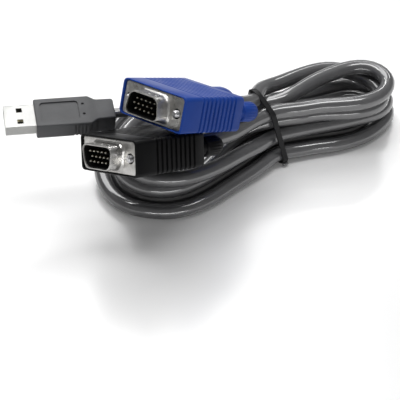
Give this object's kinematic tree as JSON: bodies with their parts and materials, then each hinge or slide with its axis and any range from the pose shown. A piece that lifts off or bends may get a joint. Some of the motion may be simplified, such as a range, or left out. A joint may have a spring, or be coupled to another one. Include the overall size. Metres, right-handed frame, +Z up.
{
  "type": "kvm cable",
  "caption": "Keyboard, video and mouse cable wound in a tied hank, with a black and a blue video plug and a small plug on a thin lead.",
  "frame": {"origin": "middle of the footprint, on the surface that the hank lies on", "axes": "+Z up, +X towards the hank's right lobe, -Y towards the side that the plugs face"},
  "size_m": [0.1653, 0.1123, 0.0634],
  "materials": {
    "black_plastic": "moulded PVC, satin gloss",
    "blue_plastic": "moulded PVC, satin gloss",
    "cable_jacket": "extruded PVC jacket, glossy",
    "nickel_plate": "nickel-plated steel",
    "screw_steel": "plated screw steel",
    "gold_contact": "thin gold plating",
    "insulator": "moulded insulator",
    "strap": "soft black tie"
  },
  "bodies": {
    "cable_set": {"black_hood": "black_plastic", "black_face_plate": "nickel_plate", "black_insulator": "insulator", "black_pin_01": "gold_contact", "black_pin_02": "gold_contact", "black_pin_03": "gold_contact", "black_pin_04": "gold_contact", "black_pin_05": "gold_contact", "black_pin_06": "gold_contact", "black_pin_07": "gold_contact", "black_pin_08": "gold_contact", "black_pin_09": "gold_contact", "black_pin_10": "gold_contact", "black_pin_11": "gold_contact", "black_pin_12": "gold_contact", "black_pin_13": "gold_contact", "black_pin_14": "gold_contact", "black_pin_15": "gold_contact", "blue_hood": "blue_plastic", "blue_face_plate": "nickel_plate", "blue_insulator": "insulator", "blue_pin_01": "gold_contact", "blue_pin_02": "gold_contact", "blue_pin_03": "gold_contact", "blue_pin_04": "gold_contact", "blue_pin_05": "gold_contact", "blue_pin_06": "gold_contact", "blue_pin_07": "gold_contact", "blue_pin_08": "gold_contact", "blue_pin_09": "gold_contact", "blue_pin_10": "gold_contact", "blue_pin_11": "gold_contact", "blue_pin_12": "gold_contact", "blue_pin_13": "gold_contact", "blue_pin_14": "gold_contact", "blue_pin_15": "gold_contact", "usb_hood": "black_plastic", "usb_shell": "nickel_plate", "usb_tongue": "insulator", "usb_contact_1": "gold_contact", "usb_contact_2": "gold_contact", "usb_contact_3": "gold_contact", "usb_contact_4": "gold_contact", "cable_hank": "cable_jacket", "black_tail": "cable_jacket", "blue_tail": "cable_jacket", "usb_lead": "cable_jacket", "tie_strap": "strap"},
    "black_thumbscrew_left": {"black_screw_left": "screw_steel", "black_knob_left": "black_plastic"},
    "black_thumbscrew_right": {"black_screw_right": "screw_steel", "black_knob_right": "black_plastic"},
    "blue_thumbscrew_left": {"blue_screw_left": "screw_steel", "blue_knob_left": "blue_plastic"},
    "blue_thumbscrew_right": {"blue_screw_right": "screw_steel", "blue_knob_right": "blue_plastic"}
  },
  "joints": [
    {"name": "black_thumbscrew_left_turn", "type": "hinge", "parent": "cable_set", "child": "black_thumbscrew_left", "pos_m": [-0.02277, -0.01423, 0.02669], "axis": [-0.7324, -0.6059, 0.3107], "continuous": true},
    {"name": "black_thumbscrew_right_turn", "type": "hinge", "parent": "cable_set", "child": "black_thumbscrew_right", "pos_m": [-0.00577, -0.03009, 0.03585], "axis": [-0.7324, -0.6059, 0.3107], "continuous": true},
    {"name": "blue_thumbscrew_left_turn", "type": "hinge", "parent": "cable_set", "child": "blue_thumbscrew_left", "pos_m": [-0.00962, 0.00081, 0.03845], "axis": [-0.6607, -0.6226, 0.4195], "continuous": true},
    {"name": "blue_thumbscrew_right_turn", "type": "hinge", "parent": "cable_set", "child": "blue_thumbscrew_right", "pos_m": [0.00861, -0.0158, 0.04251], "axis": [-0.6607, -0.6226, 0.4195], "continuous": true}
  ]
}
